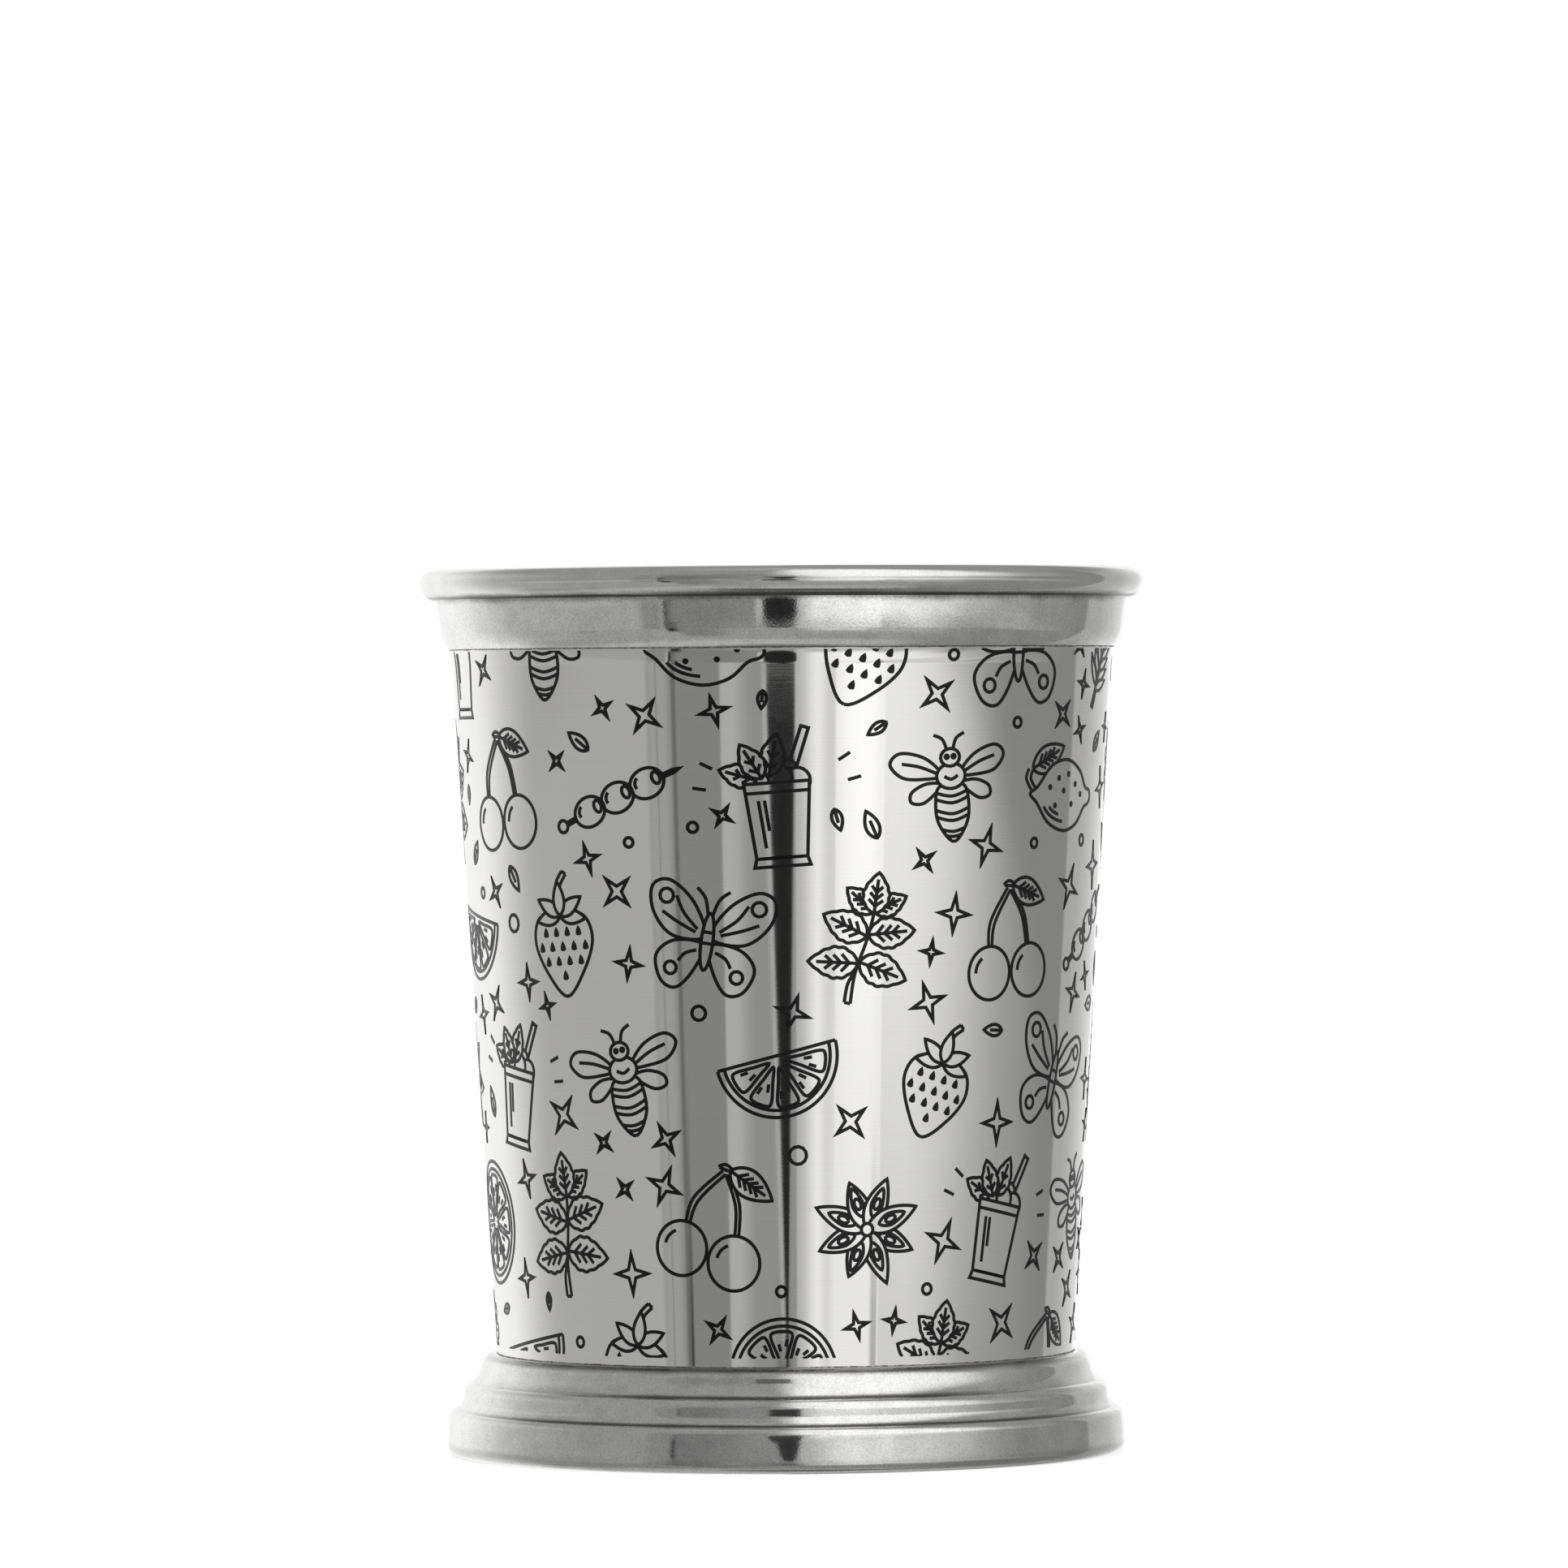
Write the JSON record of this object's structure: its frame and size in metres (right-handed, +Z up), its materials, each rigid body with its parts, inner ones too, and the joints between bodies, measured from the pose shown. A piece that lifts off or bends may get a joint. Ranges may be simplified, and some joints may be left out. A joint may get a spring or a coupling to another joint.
{
  "type": "julep cup",
  "caption": "Tapered polished-steel julep cup with a rolled rim, an applied rim band and a hollow stepped foot, for serving iced drinks.",
  "frame": {"origin": "centre of the standing face, on the axis of the cup", "axes": "+Z up along the cup's axis, from the foot to the rim; the cup is round about Z, and -Y is the side that the picture shows"},
  "size_m": [0.0884, 0.0884, 0.108],
  "materials": {
    "cup_steel": "mirror-polished stainless steel with faint polishing lines round it, satin inside",
    "band_steel": "buffed stainless steel, slightly hazier than the wall, with small pits",
    "foot_steel": "buffed stainless steel with faint lines round the steps",
    "base_steel": "spun satin stainless steel",
    "solder": "dull grey solder with polishing dirt",
    "print_ink": "thin black printed ink, semi-gloss"
  },
  "bodies": {
    "root": {"cup_shell": "cup_steel", "rim_band": "band_steel", "rim_solder": "solder", "foot_ring": "foot_steel", "foot_solder": "solder", "base_plate": "base_steel", "base_solder": "solder"}
  },
  "joints": []
}
